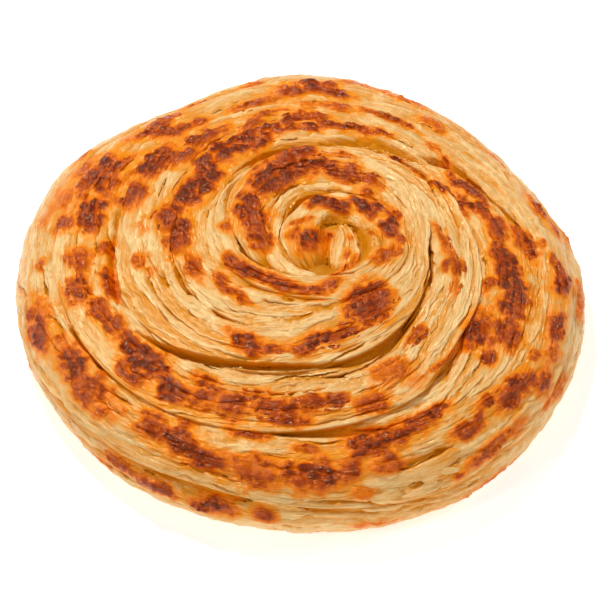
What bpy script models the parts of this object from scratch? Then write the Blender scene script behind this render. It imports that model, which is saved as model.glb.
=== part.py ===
"""Layered paratha: a round flatbread whose dough was rolled thin, pleated, wound into a coil and
pressed flat, so that its top is a spiral of folds round an off-centre eye.

The bread is one closed body.  A sphere's rings and meridians are moved onto a domed disc: its
upper rings cross the top, the next ones turn over the rim and under the belly, and the last ones
lie flat underneath.  Long curved folds, each given by its distance from the eye of the coil at
every eighth of a turn, are then pressed into the top, and the side is creased into two belts.
"""
import math

import bmesh
import bpy
import numpy as np

NAME = "paratha"
MM = 0.001

# Driving dimensions
CROWN_HEIGHT = 29.0 * MM        # top of the plain dome
DOME_DROP = 8.9 * MM            # how much lower the dome would be at the edge
RIM_START = 0.83                # share of the way out at which the top starts to turn over
BELLY_HEIGHT = 8.0 * MM         # where the side stands out farthest
BASE_INSET = 7.0 * MM           # how far the flat underside is drawn in
EYE_X = 6.8 * MM                # centre of the coil
EYE_Y = -2.0 * MM
EYE_RADIUS = 7.0 * MM
EYE_DEPTH = 2.5 * MM

# How far the edge stands from the middle of the bread, in mm, at every twelfth of a turn from +X
EDGE_REACH = (86.5, 81.5, 84.0, 88.0, 82.5, 87.5, 86.0, 85.5, 87.5, 89.0, 91.0, 88.5)
MEAN_RADIUS = MM * sum(EDGE_REACH) / len(EDGE_REACH)

# Each fold runs clockwise seen from above.  Angles are in degrees from +X about the eye, and
# radii are in mm from the eye, one for each eighth of a turn from the start angle.
EIGHTH = 45.0
FOLDS = {
    # the valley between the turns of the coil, from the hollow by the eye out to the rim
    "coil_valley": dict(start=180.0, depth=4.6 * MM, width=3.2 * MM,
                        radii=(12.5, 19, 24, 26, 26, 22, 18.5, 22, 35, 41, 45, 47, 46, 54, 65, 74.5, 86)),
    # splits the second turn from the fan of strands round it
    "fan_valley": dict(start=45.0, depth=3.4 * MM, width=2.8 * MM,
                       radii=(36.0, 31.5, 36.5, 43, 56, 62, 63, 60, 60)),
    # inner edge of the broad outer sheet at the right
    "sheet_edge": dict(start=90.0, depth=2.6 * MM, width=2.8 * MM,
                       radii=(51.0, 53.0, 60.5, 68.0, 66.0)),
    # splits the rim's own layers at the front and left
    "rim_split": dict(start=290.0, depth=2.4 * MM, width=2.4 * MM,
                      radii=(79.0, 81.0, 77.0, 82.0)),
}
FOLD_FADE = 25.0                # degrees over which a fold deepens from each of its ends

# Shallow strands that follow the coil between the folds
STRAND_PITCH = 8.0 * MM
STRAND_RISE = 0.8 * MM
COIL_GAIN = 13.0 * MM           # how far the coil moves out in one turn

# Side belts: the upper belt turns over the lower one, which sticks out along the front
CREASE_HEIGHT = 12.5 * MM
CREASE_WIDTH = 2.4 * MM
CREASE_DEPTH = 2.0 * MM
CREASE_MIDDLE = 255.0           # where round the side the crease is deepest, and how far it reaches
CREASE_REACH = 75.0

MERIDIANS = 84
TOP_RINGS = 40
RIM_RINGS = 9
BELLY_RINGS = 4
BASE_RINGS = 3

CRUST_COLOUR = (0.80, 0.50, 0.20, 1.0)
CRUST_ROUGHNESS = 0.45


def smooth_curve(values, place):
    """Catmull-Rom curve through values at 0, 1, 2 ..., read at each place along it."""
    knots = np.asarray(values, float)
    knots = np.concatenate([[2 * knots[0] - knots[1]], knots, [2 * knots[-1] - knots[-2]]])
    step = np.clip(np.floor(place).astype(int), 0, len(values) - 2)
    t = place - step
    a, b, c, d = (knots[step + k] for k in range(4))
    return b + 0.5 * t * (c - a + t * (2 * a - 5 * b + 4 * c - d + t * (3 * (b - c) + d - a)))


def outline_radius(angle):
    """Smooth closed curve through the edge's reaches, at angles in radians about the origin."""
    place = np.mod(angle, 2.0 * math.pi) / (2.0 * math.pi) * len(EDGE_REACH)
    round_again = EDGE_REACH[-2:] + EDGE_REACH + EDGE_REACH[:2]
    return MM * smooth_curve(round_again, place + 2.0)


def smooth_step(x):
    """0 below 0, 1 above 1, and an S curve between."""
    x = np.clip(x, 0.0, 1.0)
    return x * x * (3.0 - 2.0 * x)


def fold_relief(distance, angle, start, radii, depth, width):
    """Depth of one fold: a rounded V across it, summed over the turns that it makes."""
    reach = EIGHTH * (len(radii) - 1)
    relief = np.zeros_like(distance)
    clockwise = np.mod(start - angle, 360.0)
    for turn in range(math.ceil(reach / 360.0)):
        along = clockwise + 360.0 * turn
        middle = MM * smooth_curve(radii, np.clip(along, 0.0, reach) / EIGHTH)
        fade = smooth_step(along / FOLD_FADE) * smooth_step((reach - along) / FOLD_FADE)
        relief += depth * fade * np.exp(-np.abs((distance - middle) / width) ** 1.5)
    return relief


def top_relief(x, y):
    """Height of the folds and strands above the plain dome, at points of the top."""
    from_eye = np.hypot(x - EYE_X, y - EYE_Y)
    angle = np.degrees(np.arctan2(y - EYE_Y, x - EYE_X))
    wound = from_eye + COIL_GAIN * angle / 360.0
    strands = STRAND_RISE * (np.abs(np.sin(math.pi * wound / STRAND_PITCH)) - 0.64)
    relief = strands * smooth_step((from_eye - EYE_RADIUS) / STRAND_PITCH)
    relief -= EYE_DEPTH * np.exp(-(from_eye / EYE_RADIUS) ** 2)
    for fold in FOLDS.values():
        relief -= fold_relief(from_eye, angle, **fold)
    return relief


def side_crease(height, angle):
    """How far the side is drawn in between its two belts of layers."""
    away = np.abs(np.mod(angle - CREASE_MIDDLE + 180.0, 360.0) - 180.0)
    strength = 0.3 + 0.7 * smooth_step(1.5 - away / CREASE_REACH)
    return CREASE_DEPTH * strength * np.exp(-((height - CREASE_HEIGHT) / CREASE_WIDTH) ** 2)


def section():
    """The bread's section from the crown to the middle of the underside, with a value for each
    ring: its share of the way out to the edge, its inset from the edge, and its height.  The dome
    is a parabola, the rim a quarter ellipse from RIM_START to the edge, and the belly another."""
    turned = np.linspace(0.0, 0.5 * math.pi, RIM_RINGS + 1)
    rim_share = RIM_START + (1.0 - RIM_START) * np.sin(turned)
    share = np.concatenate([np.linspace(0.0, RIM_START, TOP_RINGS + 1)[:-1], rim_share])
    turned = np.concatenate([np.zeros(TOP_RINGS), turned])
    height = BELLY_HEIGHT + (CROWN_HEIGHT - DOME_DROP * share ** 2 - BELLY_HEIGHT) * np.cos(turned)
    under = np.linspace(0.0, 0.5 * math.pi, BELLY_RINGS + 1)[1:]
    inwards = np.linspace(1.0, 0.0, BASE_RINGS + 1)[1:]
    shares = np.concatenate([share, np.ones(BELLY_RINGS), inwards])
    insets = np.concatenate([np.zeros(len(share)), BASE_INSET * (1.0 - np.cos(under)), inwards * BASE_INSET])
    heights = np.concatenate([height, BELLY_HEIGHT * (1.0 - np.sin(under)), np.zeros(BASE_RINGS)])
    return shares, insets, heights


def bread_points(ring, meridian):
    """Places of the sphere's points on the bread.  Each goes out along its meridian by its ring's
    share of the outline and up to its ring's height, then along the section's normal by the relief.
    The rings' centres move from the eye to the middle of the bread on the way out to the edge."""
    shares, insets, heights = section()
    outer = TOP_RINGS + RIM_RINGS
    slope = np.gradient(heights[:outer + 1], shares[:outer + 1] * MEAN_RADIUS)
    tilt = np.concatenate([np.arctan(-slope), np.full(BELLY_RINGS + BASE_RINGS, 0.5 * math.pi)])[ring]
    share, height = shares[ring], heights[ring]
    reach = share * outline_radius(meridian) - insets[ring]
    pull = np.where(ring < outer, 1.0 - share, 0.0)
    ways = np.stack([np.cos(meridian), np.sin(meridian)], axis=1)
    plan = reach[:, None] * ways + pull[:, None] * np.array([EYE_X, EYE_Y])
    fade = smooth_step((outer - ring) / RIM_RINGS)
    rise = fade * top_relief(plan[:, 0], plan[:, 1]) - side_crease(height, np.degrees(meridian))
    plan += (rise * np.sin(tilt))[:, None] * ways
    return np.column_stack([plan, height + rise * np.cos(tilt)])


def make_bread(collection):
    """Move the rings of a sphere onto the bread and centre its box on the Z axis."""
    rings = TOP_RINGS + RIM_RINGS + BELLY_RINGS + BASE_RINGS
    shape = bmesh.new()
    bmesh.ops.create_uvsphere(shape, u_segments=MERIDIANS, v_segments=rings, radius=1.0)
    mesh = bpy.data.meshes.new(NAME)
    shape.to_mesh(mesh)
    shape.free()
    sphere = np.empty(3 * len(mesh.vertices), np.float32)
    mesh.vertices.foreach_get("co", sphere)
    sphere = sphere.reshape(-1, 3).astype(float)
    ring = np.rint(np.arccos(np.clip(sphere[:, 2], -1.0, 1.0)) / math.pi * rings).astype(int)
    points = bread_points(ring, np.arctan2(sphere[:, 1], sphere[:, 0]))
    points[:, :2] -= 0.5 * (points[:, :2].min(axis=0) + points[:, :2].max(axis=0))
    mesh.vertices.foreach_set("co", points.ravel())
    mesh.update()
    mesh.shade_smooth()
    mesh.materials.append(crust_material())
    collection.objects.link(bpy.data.objects.new(NAME, mesh))


def crust_material():
    """Fried dough: golden, with a thin gloss of fat."""
    material = bpy.data.materials.new("golden_crust")
    material.use_nodes = True
    shader = material.node_tree.nodes["Principled BSDF"]
    shader.inputs["Base Color"].default_value = CRUST_COLOUR
    shader.inputs["Roughness"].default_value = CRUST_ROUGHNESS
    shader.inputs["Metallic"].default_value = 0.0
    return material


def main():
    for item in list(bpy.data.objects):
        bpy.data.objects.remove(item, do_unlink=True)
    collection = bpy.data.collections.new(NAME)
    bpy.context.scene.collection.children.link(collection)
    make_bread(collection)


main()
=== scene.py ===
"""Looks of the layered paratha: strands of thin, pleated dough wound into a flat coil.

The bread is built on its own skin, the plain domed disc of the frame.  A place on the skin has an
angle about the eye of the coil (degrees, counter-clockwise from +X) and an arc: the distance in mm
from the eye over the dome, round the rim and under the belly.  Every piece is a sheet of heights
above that skin.  All lengths are in millimetres until a mesh is made.
"""
import math

import bpy
import numpy as np
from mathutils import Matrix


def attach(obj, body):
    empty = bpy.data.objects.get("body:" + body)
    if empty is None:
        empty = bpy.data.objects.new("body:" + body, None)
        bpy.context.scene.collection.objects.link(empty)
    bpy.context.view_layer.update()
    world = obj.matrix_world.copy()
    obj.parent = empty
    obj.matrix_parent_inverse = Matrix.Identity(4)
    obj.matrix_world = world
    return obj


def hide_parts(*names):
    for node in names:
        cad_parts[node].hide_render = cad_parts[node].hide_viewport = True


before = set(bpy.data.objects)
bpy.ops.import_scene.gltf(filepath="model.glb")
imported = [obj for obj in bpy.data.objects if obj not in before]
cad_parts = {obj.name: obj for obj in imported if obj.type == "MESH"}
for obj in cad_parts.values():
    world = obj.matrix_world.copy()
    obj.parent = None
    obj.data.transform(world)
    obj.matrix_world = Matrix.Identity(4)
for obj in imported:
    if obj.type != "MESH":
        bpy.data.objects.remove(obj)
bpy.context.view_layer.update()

MM = 0.001
NODE = "paratha"

# The plain bread, as in the frame
CROWN_HEIGHT = 28.5
DOME_DROP = 8.4
RIM_START = 0.83
BELLY_HEIGHT = 8.0
BASE_INSET = 7.0
EYE = np.array([6.8, -2.0])
# How far the edge stands from the middle of the bread, at every twelfth of a turn from +X
OUTLINE_REACH = (86.5, 81.5, 84.0, 88.0, 82.5, 87.5, 86.0, 85.5, 87.5, 89.0, 91.0, 88.5)
MEAN_RADIUS = sum(OUTLINE_REACH) / len(OUTLINE_REACH)

SINK = 1.0              # how far all strands are pressed into the plain bread

STEP_ALONG = 0.40       # mesh spacing along a strand and across it
STEP_ACROSS = 0.25
FIELD_STEP = 0.4        # spacing of the maps of browning and slits
FIELD_HALF = 112.0

# Each strand runs clockwise.  A point is (angle, distance from the eye in plan, half width, lift of
# its crest above the plain dome); pleats is the number of layers that show across it.
STRANDS = {
    "inner_coil": dict(pleats=4, foot=5.5, lean=0.10, tuck=5.0, shelf=0.85, seed=1, points=[
        (264, 10.0, 2.0, -4.6), (240, 7.6, 4.0, -1.6), (212, 5.9, 5.4, 0.3), (180, 5.5, 6.2, 1.0),
        (140, 7.6, 6.0, 1.2), (115, 11.0, 5.4, 1.1), (98, 14.8, 4.7, 1.0), (84, 16.6, 4.4, 1.0), (60, 18.2, 5.4, 1.1),
        (30, 18.7, 7.0, 1.2), (0, 19.0, 7.2, 1.0), (-30, 17.0, 6.6, 0.8), (-60, 15.2, 6.0, 0.7), (-90, 14.4, 5.6, 0.6), (-115, 15.6, 5.2, 0.6),
        (-135, 18.0, 4.8, 0.6), (-150, 20.6, 4.6, 0.6), (-163, 23.8, 4.4, 0.6), (-175, 26.6, 4.4, 0.6), (-188, 28.8, 4.8, 0.4),
        (-202, 32.0, 5.0, -0.2), (-217, 35.2, 4.8, -1.1), (-237, 38.8, 4.2, -1.0), (-268, 41.0, 3.6, -0.6),
        (-290, 41.5, 3.0, -1.4), (-305, 41.5, 2.0, -4.5)]),
    "pale_wrap": dict(pleats=2, foot=4.0, lean=0.0, tuck=1.6, seed=11, points=[
        (66, 26.0, 1.0, -3.8), (84, 24.6, 1.8, -0.8), (108, 22.8, 2.4, 0.2), (130, 19.6, 2.5, 0.4), (150, 16.7, 2.3, 0.3),
        (165, 15.0, 2.1, 0.1), (180, 13.8, 2.1, 0.0), (200, 12.7, 2.1, -0.1), (220, 12.3, 2.1, -0.2), (240, 12.1, 2.3, -0.2),
        (258, 12.2, 2.4, -0.3), (272, 11.6, 2.0, -1.0), (286, 11.0, 1.2, -4.2)]),
    "eye_lining": dict(pleats=3, foot=4.5, lean=0.0, tuck=2.4, shelf=0.25, seed=10, points=[
        (82, 15.6, 1.6, -4.6), (70, 13.4, 3.0, -2.2), (50, 10.4, 4.0, -1.4), (24, 8.2, 4.4, -1.1), (0, 7.7, 4.4, -1.1),
        (-25, 8.2, 4.0, -1.2), (-45, 9.6, 3.2, -1.5), (-62, 11.0, 2.2, -2.2), (-74, 12.4, 1.2, -4.4)]),
    "second_coil": dict(pleats=5, foot=5.0, lean=0.30, seed=2, points=[
        (212, 14.5, 2.5, -4.0), (195, 16.0, 3.6, -2.2), (180, 17.5, 4.6, -0.6), (165, 19.8, 5.4, 0.6), (150, 23.8, 6.2, 1.1),
        (135, 27, 7.2, 1.3), (120, 30.0, 8.0, 1.4), (105, 32.2, 8.6, 1.4), (90, 32.3, 9.3, 1.3), (60, 31.8, 7.6, 1.1),
        (40, 31, 5.6, 0.9), (15, 28.6, 4.4, 0.6), (0, 27.8, 4.0, 0.5), (-30, 28.0, 5.8, 0.8), (-60, 28.8, 9.2, 1.1),
        (-90, 31.5, 11.6, 1.2), (-110, 36.5, 11.8, 1.1), (-125, 41.5, 10.0, 1.0), (-140, 45.5, 9.2, 0.9),
        (-155, 49, 9.4, 0.9), (-170, 51.5, 9.3, 0.9), (-185, 52.8, 8.8, 0.9), (-200, 54.5, 7.8, 0.8),
        (-215, 58, 7.0, 0.8), (-235, 61.3, 6.0, 0.8), (-250, 61.5, 5.2, 0.6), (-270, 60, 4.6, 0.4),
        (-290, 59, 4.2, 0.0), (-308, 57.5, 3.4, -1.5), (-320, 56, 2.0, -4.0)]),
    "split_coil": dict(pleats=3, foot=4.5, lean=0.25, seed=3, points=[
        (-84, 22.5, 1.6, -3.6), (-98, 23.6, 3.6, -0.6), (-120, 26.4, 5.2, 0.3), (-145, 31.4, 6.4, 0.6), (-167, 36.8, 5.4, 0.7),
        (-185, 40, 4.6, 0.7), (-200, 43, 4.8, 0.8), (-213, 44.4, 5.2, 0.9), (-225, 48, 5.2, 0.9), (-237, 50.3, 5.0, 0.9),
        (-250, 51.5, 4.6, 0.8), (-270, 51.0, 4.4, 0.5), (-292, 51.5, 4.0, 0.2), (-310, 50.5, 3.2, -1.0), (-322, 49.5, 2.0, -3.8)]),
    "fan_coil_right": dict(pleats=6, foot=5.0, lean=0.30, seed=4, points=[
        (97, 40.6, 1.8, -3.6), (85, 41.2, 3.0, -0.8), (65, 41.0, 4.4, 0.0), (45, 41.0, 5.2, 0.2), (15, 39.5, 6.6, 0.3),
        (0, 39.5, 7.2, 0.5), (-30, 42.0, 8.0, 0.6), (-40, 43.5, 7.5, 0.6), (-50, 46, 7.5, 0.6), (-60, 50, 8, 0.7),
        (-75, 53, 8.5, 0.7),
        (-90, 54.3, 9.8, 0.8), (-105, 57.3, 9.8, 0.9), (-120, 61, 9.4, 1.0), (-135, 64, 9.2, 1.1), (-150, 66.3, 8.8, 1.1),
        (-165, 68.2, 8.6, 1.0), (-178, 70.2, 8.0, 0.4), (-190, 71.0, 6.6, -1.4), (-200, 71.2, 4.0, -4.4)]),
    "fan_coil_left": dict(pleats=5, foot=5.0, lean=0.25, seed=5, points=[
        (210, 66.5, 4.0, -4.2), (200, 68.0, 6.6, -1.2), (190, 69.6, 8.2, 0.4), (180, 70.6, 8.8, 0.9), (165, 70.5, 8.5, 0.9),
        (150, 72.0, 8.4, 0.9), (135, 72.2, 7.6, 0.8), (120, 71, 7.0, 0.7), (90, 70.6, 6.8, 0.6), (60, 69.0, 6.0, 0.1),
        (40, 65.5, 4.6, -1.0), (25, 62.5, 3.0, -4.0)]),
    "outer_sheet": dict(pleats=4, foot=4.5, lean=0.10, seed=6, points=[
        (100, 62.5, 2.0, -4.0), (88, 62, 4.6, -0.8), (75, 61.5, 7.4, 0.4), (60, 61.5, 8.8, 0.8), (45, 62.6, 8.0, 0.9),
        (30, 63.6, 7.6, 0.9), (15, 66, 7.2, 0.9), (0, 68.6, 7.0, 0.8), (-15, 70.5, 7.6, 0.8), (-30, 73, 9.0, 0.7),
        (-45, 75.0, 10.4, 0.6), (-60, 76.0, 11.6, 0.6), (-72, 77.0, 11.0, -0.4), (-84, 78.0, 9.0, -2.5), (-92, 78.5, 6.0, -4.6)]),
    "rim_back": dict(pleats=4, foot=4.5, lean=0.05, seed=8, points=[
        (178, 88.6, 5.0, -4.2), (168, 89.0, 8.6, -1.0), (155, 89.0, 10.0, 0.5), (135, 86.8, 10.0, 0.7), (120, 84.9, 9.6, 0.7),
        (90, 86.2, 10.6, 0.7), (75, 84.3, 10.8, 0.7), (60, 78.6, 10.4, 0.6), (45, 74.8, 8.8, 0.5), (30, 74.4, 7.8, 0.4),
        (10, 76.0, 7.6, 0.3), (-10, 77.8, 7.4, 0.2), (-30, 80.6, 7.0, 0.0), (-45, 83.0, 6.0, -1.2), (-56, 84.0, 4.0, -4.0)]),
    "rough_middle": dict(pleats=4, foot=4.5, lean=0.10, seed=9, points=[
        (66, 49.5, 2.0, -4.0), (55, 50, 3.6, -1.0), (42, 50.2, 4.8, -0.2), (30, 50.8, 5.8, 0.3), (15, 52.6, 6.6, 0.6),
        (0, 54.6, 7.6, 0.8), (-15, 56.4, 8.2, 0.8), (-30, 58.2, 8.0, 0.5), (-40, 61.5, 6.5, 0.2), (-48, 63.5, 5.2, 0.2),
        (-56, 66, 3.4, -0.6), (-62, 67, 1.6, -3.6)]),
}

# The layers that turn down over the rim, by arc instead of distance: (angle, arc, half width, lift)
BELTS = {
    "rim_front": dict(pleats=5, foot=4.5, lean=0.0, seed=7, points=[
        (318, 78.0, 6.0, -4.2), (310, 78.6, 9.4, -1.4), (300, 79.2, 11.2, 0.4), (285, 79.3, 10.8, 0.9), (275, 79.0, 10.4, 1.0),
        (265, 78.6, 10.0, 1.0), (255, 77.8, 9.6, 1.0), (245, 77.6, 9.4, 1.0), (235, 78.4, 9.6, 1.0), (225, 79.4, 9.8, 1.0),
        (215, 80.6, 10.2, 0.9), (205, 82.4, 10.6, 0.8), (190, 84.2, 10.6, 0.7), (175, 85.4, 10.6, 0.5), (160, 86.2, 9.6, 0.0),
        (150, 86.8, 7.4, -1.6), (141, 87.0, 5.0, -4.4)]),
    "belt_lower": dict(pleats=4, foot=3.2, lean=0.0, tuck=3.0, shelf=0.75, seed=22, points=[
        (334, 99.6, 1.6, -2.8), (318, 98.6, 3.6, -0.2), (298, 96.8, 5.0, 0.4), (282, 95.6, 6.0, 0.9), (262, 95.0, 6.6, 1.1),
        (240, 94.8, 6.4, 0.8), (225, 95.2, 6.0, 0.5), (213, 96.4, 5.4, 0.5), (200, 97.8, 4.8, 0.5), (180, 98.8, 4.4, 0.3),
        (120, 99.6, 4.2, 0.1), (60, 99.4, 4.2, 0.1), (20, 99.6, 4.0, 0.1), (-8, 99.8, 3.0, -0.6), (-20, 100.2, 1.6, -2.8)]),
    "belt_upper": dict(pleats=2, foot=3.0, lean=0.0, seed=21, points=[
        (172, 96.2, 1.5, -2.8), (158, 95.2, 3.4, 0.0), (130, 93.8, 4.4, 0.3), (90, 93.2, 4.8, 0.3), (40, 93.4, 4.6, 0.3),
        (0, 93.8, 4.4, 0.3), (-25, 93.6, 4.2, 0.3), (-50, 93.6, 3.8, 0.2), (-68, 94.4, 2.8, -0.6), (-80, 95.0, 1.5, -2.8)]),
    "torn_wedge": dict(pleats=3, foot=4.5, lean=0.0, seed=24, points=[
        (326, 54.5, 1.5, -4.0), (320, 57, 2.4, -2.0), (313, 59.4, 3.2, -1.4), (306, 61, 3.8, -1.0), (298, 61.6, 3.8, -0.6),
        (288, 61.4, 4.0, -0.4), (280, 61.6, 3.4, -1.2), (272, 62.6, 1.6, -4.0)]),
    "torn_flap": dict(pleats=3, foot=4.5, lean=0.0, seed=25, points=[
        (330, 60, 1.5, -4.0), (324, 61.5, 3.4, -0.4), (316, 63.4, 4.6, 0.5), (309, 65.2, 4.2, 0.5), (303, 66.6, 3.0, 0.0),
        (297, 67.6, 1.4, -3.5)]),
    "belt_foot": dict(pleats=2, foot=2.6, lean=0.0, seed=23, points=[
        (300, 103.6, 1.4, -2.4), (282, 103.0, 2.8, -0.3), (225, 102.8, 3.0, 0.0), (180, 103.0, 3.0, 0.0), (90, 103.2, 3.0, -0.1),
        (0, 103.0, 3.0, -0.1), (-45, 102.6, 3.2, 0.0), (-70, 103.0, 2.6, -0.4), (-84, 103.6, 1.4, -2.4)]),
}

# Crevices where strands part: their points are (angle, distance), with a width and a depth
SLITS = [
    ([(186, 36.6), (170, 37.4), (160, 38.5)], 0.6, 1.6), ([(122, 19.6), (110, 20.4), (100, 21.2), (90, 21.7), (80, 21.7)], 1.7, 3.0),
    ([(90, 45.6), (82, 46.2), (74, 47.2), (66, 48.0), (58, 48.6), (50, 49.4)], 4.2, 3.0),
    ([(66, 45.6), (59, 43.9), (52, 44.4), (45, 43.6), (39, 41.8), (32, 40)], 1.2, 3.4),
    ([(20, 33.6), (5, 32.0), (350, 31.8), (333, 34.2)], 1.3, 2.2), ([(122, 41.6), (115, 42.6), (108, 43.6)], 2.6, 1.8),
    ([(162, 65), (166, 63.8), (171, 62.4)], 2.0, 3.2), ([(134, 66.4), (138, 65.8), (143, 66.4)], 1.6, 2.2),
    ([(147, 66.4), (152, 67.2), (157, 67.6)], 1.6, 2.2),
    ([(183, 43.6), (197, 42.2), (212, 39.8), (237, 34.8)], 0.8, 2.6),
    ([(209, 60.4), (220, 56.4), (232, 51.6), (247, 46.8), (262, 43.8), (285, 41.2)], 2.2, 4.8),
    ([(258, 48.2), (275, 46.8), (290, 43.8), (303, 39.0), (322, 35.2)], 1.3, 3.8),
    ([(256, 66.4), (270, 65.2), (286, 65.0)], 0.7, 2.6), ([(198, 78.6), (208, 76.8)], 0.8, 2.6),
    ([(206, 76.8), (218, 75.6), (231, 75.2)], 1.4, 3.6), ([(176, 83.8), (190, 83.0)], 0.9, 2.4),
    ([(245, 82.6), (254, 82.0)], 0.9, 2.0), ([(285, 79.4), (291, 78.0), (298, 77.4)], 2.4, 3.4),
    ([(43, 13.2), (34, 12.6)], 0.8, 2.0), ([(13, 11.8), (2, 12.0)], 1.8, 2.6),
    ([(158, 63.2), (175, 62.0), (190, 61.4), (204, 61.0)], 2.2, 4.4), ([(329, 67.4), (342, 65.8)], 0.8, 2.4),
]

# More crevices, by arc instead of distance
ARC_SLITS = [
    ([(54, 55), (47, 58.8), (40, 62), (33, 63.4), (26, 63.7)], 3.4, 3.2), ([(30, 63.6), (22, 64.3), (15, 66.6), (10, 69.6)], 1.7, 2.4),
    ([(300, 58), (310, 56), (320, 54.5)], 1.8, 2.0), ([(285, 65), (292, 64.4), (296, 63), (299, 62)], 1.5, 3.0),
    ([(299, 65.4), (302, 65), (305, 63.5)], 1.1, 2.4),
]

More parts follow.
